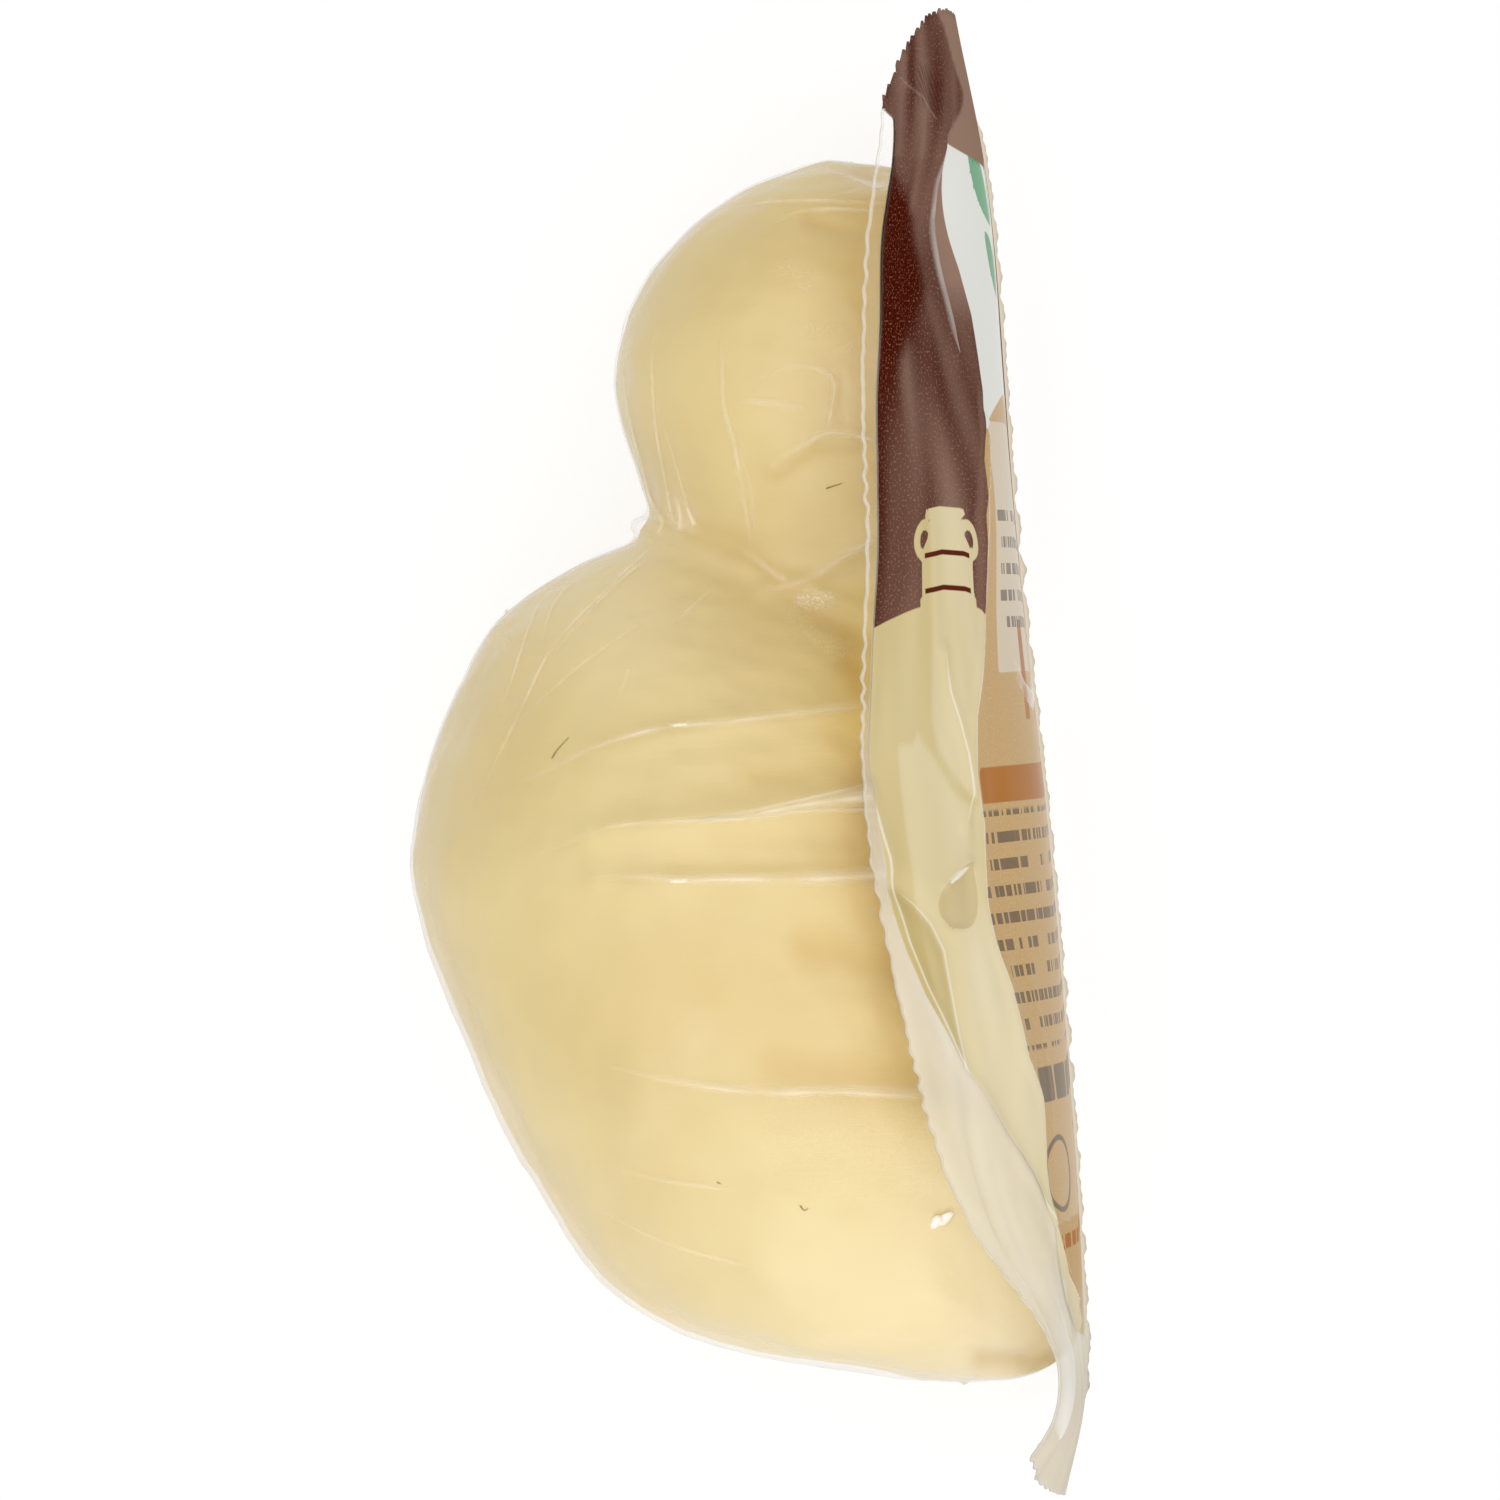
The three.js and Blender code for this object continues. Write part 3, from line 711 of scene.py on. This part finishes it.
for height, half_width, line, _, path in LID_FOLDS:
    away = from_path(on_sheet, path)
    ripple += height * np.exp(-((away / half_width) ** 2))
    taper = min(3, (path[0][1] - path[-1][1]) / 3)
    fade = np.clip((path[0][1] - y) / taper, 0.005, 1) * np.clip((y - path[-1][1]) / taper, 0.005, 1)
    glints.append(np.where(s > swept(path, y), away, -away) / (line * fade))
dent = leaf_shape((34.4, -18.5), (30.4, -12.3), 2.4, 0.6)
ripple -= 0.35 * np.clip(dent, 0, 1)
ripple -= TAIL_CURL * np.clip((s - 24) / 16, 0, 1) * np.clip((-60 - y) / 12, 0, 1)
ripple += far_edge**2 * (0.35 + 0.06 * teeth + 0.14 * swell(y[..., None], 4, 23))

lid_middle = lid_sheet(s, y)
lid_normal = np.cross(np.gradient(lid_middle, axis=0), np.gradient(lid_middle, axis=1))
lid_normal /= np.linalg.norm(lid_normal, axis=-1, keepdims=True)
lid_middle = lid_middle + lid_normal * ripple[..., None]

# Boundaries of the print on the flat sheet: points (s, y) from the head down.
NEAR_MARGIN = [
    (46, 62), (46, 60.5), (38.5, 59), (37, 54.7), (36.7, 50.4), (37.3, 45.4), (38.5, 35.8), (40.2, 23.4),
    (40.9, 10.7), (41.4, -1.9), (40.8, -11.5), (40.9, -16.4), (40.3, -20.3), (39.1, -24.8), (35.9, -32.3),
    (31.8, -39.4), (29.3, -42.5), (26.1, -48.6), (24.4, -55.5), (19.7, -58.7), (0, -61),
]
BADGE_SIDE = [
    (20.8, 57.4), (20.5, 55.6), (19.6, 53.8), (17.5, 49.2), (15.7, 45), (14.7, 40.5), (15.1, 35.8),
    (15.5, 33), (17.8, 29.3), (20.8, 26.2), (23.0, 20.8), (23.4, 16.5), (23.9, 12.6), (24.2, 8),
]
DEEP_SIDE = [
    (37, 56), (36.5, 54.6), (33.3, 53.2), (29.8, 51.6), (25.4, 50), (24.3, 48.2), (22.8, 45.5), (23.2, 43.3),
    (26.5, 41.2), (30, 38.6), (33.5, 36.4), (34.8, 35), (36.2, 31.2), (37.3, 27.7), (38.9, 19.5),
    (40.9, 10.8),
]
CREAM_STEP = [
    (32.7, 13), (32.7, 10.4), (33, 6), (33.5, 1.6), (33, -1.5), (31.2, -4.2), (29.4, -6.2), (28, -8), (0, -9),
]
PALE_TOP = [(29.8, -6.7), (31.6, -5.1), (33.3, -2), (34.4, -0.6), (35.3, 0.7), (36, -0.4), (38.1, -0.3)]
GROUND_LINE = [
    (20, 8), (23.5, 8.4), (24.2, 11), (24.9, 11.8), (27.2, 12.4), (30.5, 12.7), (34.6, 12.3), (40.9, 10.7),
]
CHURN_SIDE = [
    (-1, 4.3), (0.8, 4.3), (0.9, 4.0), (5.2, 4.1), (6.6, 2.9), (7.2, 2.5), (8.4, 2.6), (8.5, 3.3), (9.2, 3.2),
]

# Fields of the print. Each is the distance into the field in millimetres, so that it is sharp at zero.
far = np.abs(s)
ground_line = np.interp(s, *np.array(GROUND_LINE).T)
badge_top = 55.4 + 0.0045 * s * s
above_ground, beside_churn = y - ground_line, np.abs(far - 29.8)
churn_side = np.interp(above_ground, *np.array(CHURN_SIDE).T)
handle = 0.45 - np.abs(np.hypot((beside_churn - 3.6) / 1.2, (above_ground - 6.3) / 1.5) - 1) * 1.3
churn = np.maximum(np.minimum(churn_side - beside_churn, 9.2 - above_ground), handle)
band = np.minimum(1.75 - np.abs(y + 5.3), 27.6 - far)
posts = np.minimum(1.45 - np.abs(far - 9.25), 4.9 - np.abs(y - 5.7))
accents = np.minimum.reduce([0.7 - np.abs(y + 50), 24.5 - far, 2.2 - np.abs(far % 5.4 - 2.7)])
blocks = np.minimum.reduce([1.7 - np.abs(y + 34.6), 26 - far, 4.2 - np.abs(far % 9.4 - 4.7)])
oval = 0.28 - np.abs(np.hypot((far - 20) / 6.6, (y + 43.4) / 3.5) - 1) * 3.5
lower_rows = np.minimum.reduce([-7.6 - y, y + 31.3, 28.8 - far + np.clip(-y - 12, 0, 9)])
fields = {
    "printed": np.minimum.reduce([swept(NEAR_MARGIN, y) - s, y + 60.5]),
    "panel": np.minimum.reduce([30 - y, y - 5.5, 20.5 - far - 0.12 * (y - 5.5)]),
    "badge": np.minimum(badge_top - y, y - 33 + 0.012 * s * s),
    "leaves": np.maximum.reduce([
        leaf_shape((1.5, 49.5), (13.5, 57.5), 2.3),
        leaf_shape((-1.5, 49.5), (-13.5, 57.5), 2.3),
        leaf_shape((0.5, 42.2), (7.2, 49.0), 2.0),
        leaf_shape((-0.5, 42.2), (-7.2, 49.0), 2.0),
    ]),
    "orange": np.maximum.reduce([band, posts, accents]),
    "dark": np.maximum(blocks, oval),
    "rows": np.maximum(lower_rows, np.minimum.reduce([22.5 - y, y - 8.5, 18 - far])),
    "cream": np.minimum(-above_ground, far - swept(FACE_FOLD, y)),
    "dent": dent,
    "brown": np.minimum(above_ground, np.maximum(far - swept(BADGE_SIDE, y), y - badge_top)),
    "churn": np.minimum.reduce([churn, above_ground + 0.4, far - 23.6]),
    "lower_edge": 3 - LOWER_WIDTH - s,
    "hooped": np.minimum(churn_side - beside_churn - 0.5, far - 23.6),
    "above_ground": above_ground,
}

# Painted glare on the brown ink, and painted light and shade with faint streaks on the cream ink, as shares
# of a paler ink.
streaks = swell(lengthwise, 5.5, 31)
beside_deep = 1 / (1 + np.exp((s - swept(DEEP_SIDE, y)) / 0.8)) * (0.34 + 0.15 * streaks)
fold_blur = np.interp(y, [57, 60], [0.15, 1.8])
behind_fold = np.clip((swept(UPPER_FOLD, y) - s) / fold_blur, 0, 1) * np.clip((y - 36) / 8, 0, 1)
beside_badge = np.exp(-(((s - swept(BADGE_SIDE, y) - 1.0) / 1.4) ** 2)) * np.clip((38 - y) / 6, 0, 1)
across_top = np.where(y > 55.5, 0.4 + 0.2 * streaks, beside_deep)
veil = np.maximum.reduce([across_top, 0.9 * behind_fold, 0.5 * beside_badge])
in_pale = np.clip((np.interp(s, *np.array(PALE_TOP).T) - y) / 0.8, 0, 1) * np.clip((38.1 - s) / 0.5, 0, 1)
past_corner = swept(CORNER_FOLD, y) - s
tone = 0.25 + 0.36 * np.clip((swept(CREAM_STEP, y) - s) / 0.6, 0, 1) + 0.35 * in_pale
tone -= 0.45 * np.clip(-past_corner / 0.5, 0, 1) * np.clip(-14 - y, 0, 1)
tone += 0.25 * np.clip(past_corner / 3, 0, 1) * np.clip((-16 - y) / 6, 0, 1) + 0.08 * streaks
hatched = np.minimum(4.8 - np.abs(s - 26.6), 2.3 - np.abs(y - 62 - 0.15 * (s - 26.6)))
fields["veil"] = np.clip(veil, 0, 1)
fields["tone"] = np.clip(tone, 0, 1)
fields["hatched"] = np.clip(hatched, 0, 1) * 0.5
fields.update({f"fold_{n}": glint for n, glint in enumerate(glints)})
# How milky the clear margin is at each y.
MARGIN_MILK = np.array([[-66, 0.9], [-56, 0.55], [-45, 0.42], [-25, 0.46], [5, 0.08], [40, 0.02]])
fields["margin"] = np.interp(y, *MARGIN_MILK.T) + 0.05 * streaks
rim_loss = 0.12 * np.clip((10 - y) / 30, 0, 1) + 0.07 * swell(y[..., None], 1.8, 41)
fields["rim"] = np.where((s > 0) & (y < 60), np.minimum(from_edge, y - bottom) + rim_loss, 9)

# Printed polyester film: gravure inks, faintly grainy, under a gloss. The unprinted margin is clear and a
# little milky, folds catch the light as fine pale lines, and so does the cut edge.
film_print, tree = blank_material("printed_lid_film")
SHARP = 0.06  # an ink edge is blurred over this many mm to either side
ROW_PITCH = 2.6  # of the rows of short bars
GROUP_LENGTH = 7.0  # the bars stand in groups of about this length
BAR_LENGTH = 0.9
share_of = {key: add(tree, "Attribute", out="Fac", attribute_name=key) for key in fields}
sheet_place = add(tree, "Attribute", out="Vector", attribute_name="place")
up = add(tree, "SeparateXYZ", {"Vector": sheet_place}, out="Y")

grain = add(tree, "TexNoise", {"Vector": sheet_place, "Scale": 1 / 0.25, "Detail": 0.0})
specks = add(tree, "MapRange", {"Value": grain, "From Min": 0.58, "From Max": 0.74, "To Max": 0.35})
mirrored = add(tree, "VectorMath", {0: sheet_place, 1: (-1, 1, 1)}, operation="MULTIPLY")
knurl = add(tree, "TexWave", {"Vector": mirrored, "Scale": 0.62}, out="Fac", bands_direction="DIAGONAL")
seal = add(tree, "Math", {0: knurl, 1: share_of["hatched"]}, operation="MULTIPLY")
brown_ink = ink("#471004")
# Painted glare over the brown ink, then its ink grain and the knurled seal.
for share, code in [(share_of["veil"], "#9c7f6e"), (specks, "#a5846c"), (seal, "#3a1008")]:
    brown_ink = add(tree, "Mix", {"Factor": share, "A": brown_ink, "B": ink(code)}, data_type="RGBA")
# The cream ink, darker or paler by painted shade and light.
tones = {"Factor": share_of["tone"], "A": ink("#c6b27a"), "B": ink("#e0d4b2")}
cream_ink = add(tree, "Mix", tones, data_type="RGBA")
colour = add(tree, "Mix", {"Factor": specks, "A": ink("#c6a472"), "B": ink("#dcc69e")}, data_type="RGBA")

row = add(tree, "Math", {0: up, 1: 1 / ROW_PITCH}, operation="MULTIPLY")
from_row = add(tree, "Math", {0: row, 1: 0.5}, operation="PINGPONG")
row_number = add(tree, "Math", {0: row}, operation="ROUND")
group_at = add(tree, "VectorMath", {0: sheet_place, 1: (1 / GROUP_LENGTH, 0, 0)}, operation="MULTIPLY")
row_at = add(tree, "CombineXYZ", {"Y": row_number})
group_at = add(tree, "VectorMath", {0: row_at, 1: (0, 31.7, 0), 2: group_at}, operation="MULTIPLY_ADD")
groups = add(tree, "TexNoise", {"Vector": group_at, "Scale": 1.0, "Detail": 0.0})
bar_at = add(tree, "VectorMath", {0: sheet_place, 1: (1 / BAR_LENGTH, 0, 0)}, operation="MULTIPLY")
bar_at = add(tree, "VectorMath", {0: row_at, 1: (0, 17.3, 0), 2: bar_at}, operation="MULTIPLY_ADD")
single = add(tree, "TexNoise", {"Vector": bar_at, "Scale": 1.0, "Detail": 0.0})
bars = share_of["rows"]
for value, low, high in [(from_row, 0.21, 0.19), (single, 0.43, 0.46), (groups, 0.36, 0.38)]:
    kept = add(tree, "MapRange", {"Value": value, "From Min": low, "From Max": high})
    bars = add(tree, "Math", {0: bars, 1: kept}, operation="MULTIPLY")

# Two hoops round the churn, 1.4 and 4.8 mm above the ground line.
hoops = share_of["above_ground"]
for offset in (3.1, 1.7):
    shifted = add(tree, "Math", {0: hoops, 1: offset}, operation="SUBTRACT")
    hoops = add(tree, "Math", {0: shifted}, operation="ABSOLUTE")
hoops = add(tree, "MapRange", {"Value": hoops, "From Min": 0.3, "From Max": 0.2})
on_churn = add(tree, "MapRange", {"Value": share_of["hooped"], "From Min": -0.04, "From Max": 0.04})
hoops = add(tree, "Math", {0: hoops, 1: on_churn}, operation="MULTIPLY")

# The layers of the print from the bottom up: value, where its edge begins and ends, opacity and ink.
glare = []
for n, (*_, strength, _) in enumerate(LID_FOLDS):
    from_line = add(tree, "Math", {0: share_of[f"fold_{n}"]}, operation="ABSOLUTE")
    glare.append((from_line, 1.6, 0.4, strength, ink("#f8f6f0")))
for value, low, high, opacity, layer in [
    (share_of["panel"], -SHARP, SHARP, 0.85, ink("#d9cdb8")),
    (share_of["badge"], -SHARP, SHARP, 1.0, ink("#e4e4de")),
    (share_of["leaves"], -SHARP, SHARP, 0.85, ink("#3f9a62")),
    (share_of["orange"], -SHARP, SHARP, 0.95, ink("#b07030")),
    (share_of["dark"], -SHARP, SHARP, 0.8, ink("#62564c")),
    (bars, 0.0, 0.3, 0.75, ink("#5a4d45")),
    (share_of["cream"], -0.15, 0.15, 1.0, cream_ink),
    # Painted shade in the leaf-shaped dent.
    (share_of["dent"], -0.02, 0.06, 0.55, ink("#bda877")),
    (share_of["brown"], -SHARP, SHARP, 1.0, brown_ink),
    (share_of["churn"], -SHARP, SHARP, 1.0, cream_ink),
    (hoops, 0.0, 1.0, 1.0, ink("#5a2416")),
    (share_of["lower_edge"], -SHARP, SHARP, 1.0, ink("#e8dcc8")),
    (share_of["printed"], 0.05, -0.05, 1.0, ink("#fffaea")),
    (up, -54.0, -66.0, 0.85, ink("#d8cdb8")),
    *glare,
    (share_of["rim"], 0.4, 0.25, 0.7, ink("#d8d2ca")),
]:
    share = add(tree, "MapRange", {"Value": value, "From Min": low, "From Max": high, "To Max": opacity})
    colour = add(tree, "Mix", {"Factor": share, "A": colour, "B": layer}, data_type="RGBA")
alpha = share_of["margin"]
for value, low, high, opacity in [(share_of["printed"], -0.05, 0.05, 1.0), (share_of["rim"], 0.4, 0.25, 0.5)]:
    share = add(tree, "MapRange", {"Value": value, "From Min": low, "From Max": high, "To Max": opacity})
    alpha = add(tree, "Math", {0: alpha, 1: share}, operation="MAXIMUM")
ink_body = add(tree, "BsdfPrincipled", {"Base Color": colour, "Roughness": 0.3, "IOR": 1.015, "Alpha": alpha})
add(tree, "OutputMaterial", {"Surface": ink_body})

# The same film where ink makes it opaque, dull on the flange and glossy on the face, and the pale back of the
# ink, away from the margin and in it: name, IOR, and whether it is opaque and pale.
lid_films = [film_print]
for part, ior, opaque, pale_back in [
    ("flange", 1.0, True, False),
    ("face", 1.07, True, False),
    ("back", 1.0, True, True),
    ("back_margin", 1.0, False, True),
]:
    made = film_print.copy()
    made.name = "printed_lid_film_" + part
    links, body = made.node_tree.links, made.node_tree.nodes[ink_body.node.name]
    body.inputs["IOR"].default_value = ior
    if opaque:
        links.remove(body.inputs["Alpha"].links[0])
    if pale_back:
        links.remove(body.inputs["Base Color"].links[0])
        body.inputs["Base Color"].default_value = ink("#e6d9bc")
    lid_films.append(made)

rows, count = lid_middle.shape[:2]
front = lid_middle + lid_normal * LID_THICKNESS / 2
rear = lid_middle - lid_normal * LID_THICKNESS / 2
face = strip_faces(rows, count)
edge_loop = np.concatenate([
    np.arange(count - 1),
    np.arange(rows - 1) * count + count - 1,
    (rows - 1) * count + np.arange(count - 1, 0, -1),
    np.arange(rows - 1, 0, -1) * count,
])
after = np.roll(edge_loop, -1)
lid_faces = np.concatenate([
    face[:, ::-1],
    face + rows * count,
    np.stack([edge_loop, after, after + rows * count, edge_loop + rows * count], -1),
]).tolist()
lid = piece(
    "printed_lid",
    np.concatenate([front.reshape(-1, 3), rear.reshape(-1, 3)]),
    lid_faces,
    film_print,
    "printed_film",
    place=np.tile(np.stack([s, y, np.zeros_like(s)], -1).reshape(-1, 3), (2, 1)),
    **{key: np.tile(values.ravel(), 2) for key, values in fields.items()},
)
for made in lid_films[1:]:
    lid.data.materials.append(made)
# Which of those films each face has: its place in the list.
inked = np.minimum.reduce([fields["printed"], fields["rim"] - 0.3, y + 49]).ravel()[face].min(1) > 0.7
on_face = fields["cream"].ravel()[face].max(1) < 0.2
on_face &= fields["brown"].ravel()[face].max(1) < 0.2
film_of_face = np.concatenate([inked * (1 + on_face), 4 - inked, np.zeros(len(edge_loop))])
lid.data.polygons.foreach_set("material_index", film_of_face.astype(np.int32))
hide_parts("printed_lid_film")

# Floor, light and camera
# A white table in a white room, with a large soft lamp overhead and another at the foot of the pack. The
# camera stands straight above the pack, far off, and is turned as the pack leans in the picture.
CAMERA_DISTANCE = 1100
PICTURE_WIDTH = 148.27  # width of the picture in the plane that halves the cheese
PICTURE_TURN = 4.7  # degrees
TABLE = 4.0  # side of the table in metres

# White acrylic lit from below: near the pack it still takes a faint shadow, further off it is all light.
table, tree = blank_material("white_light_table")
shade = add(tree, "BsdfDiffuse", {"Color": ink("#8f8f8e")})
glow = add(tree, "Emission", {"Strength": 0.76})
shaded = add(tree, "AddShader", {0: shade, 1: glow})
lit = add(tree, "Emission", {"Strength": 1.0})
place = add(tree, "TexCoord", out="Object")
near = add(tree, "VectorMath", {0: place, 1: (1 / 0.06, 1 / 0.095, 0)}, operation="MULTIPLY")
away = add(tree, "VectorMath", {0: near}, operation="LENGTH")
share = add(tree, "MapRange", {"Value": away, "From Min": 0.75, "From Max": 1.0})
surface = add(tree, "MixShader", {0: share, 1: shaded, 2: lit})
add(tree, "OutputMaterial", {"Surface": surface})
floor_mesh = bpy.data.meshes.new("floor")
half = TABLE / 2
corners = [(-half, -half, 0), (half, -half, 0), (half, half, 0), (-half, half, 0)]
floor_mesh.from_pydata(corners, [], [(0, 1, 2, 3)])
floor_mesh.materials.append(table)
floor = bpy.data.objects.new("floor", floor_mesh)
bpy.context.scene.collection.objects.link(floor)

room = bpy.data.worlds.new("white_room")
room.use_nodes = True
tree = room.node_tree
sky = tree.nodes["Background"]
sky.inputs["Color"].default_value = (1, 1, 1, 1)
elevation = add(tree, "SeparateXYZ", {"Vector": add(tree, "TexCoord", out="Generated")}, out="Z")
brightness = add(tree, "MapRange", {"Value": elevation, "To Min": 0.45, "To Max": 0.86})
tree.links.new(brightness, sky.inputs["Strength"])
bpy.context.scene.world = room


def soft_lamp(name, size, energy, place, aim):
    """A square lamp at a place, in metres, that faces a point."""
    data = bpy.data.lights.new(name, "AREA")
    data.size = size
    data.energy = energy
    made = bpy.data.objects.new(name, data)
    made.location = place
    made.rotation_euler = (Vector(place) - Vector(aim)).to_track_quat("Z", "Y").to_euler()
    bpy.context.scene.collection.objects.link(made)


soft_lamp("lamp_overhead", 1.6, 9.6, (0.0, 0.1, 1.6), (0, 0, 0))
soft_lamp("lamp_at_the_foot", 1.0, 5.6, (0.1, -1.2, 0.7), (0, 0, 0))

lens = bpy.data.cameras.new("camera")
lens.sensor_width = 36
lens.lens = 36 * CAMERA_DISTANCE / PICTURE_WIDTH
camera = bpy.data.objects.new("camera", lens)
camera.location = (SET_DOWN + (0, 0, CAMERA_DISTANCE)) / 1000
camera.rotation_euler = (0, 0, -np.radians(PICTURE_TURN))
bpy.context.scene.collection.objects.link(camera)
bpy.context.scene.camera = camera
bpy.context.scene.view_settings.view_transform = "Standard"
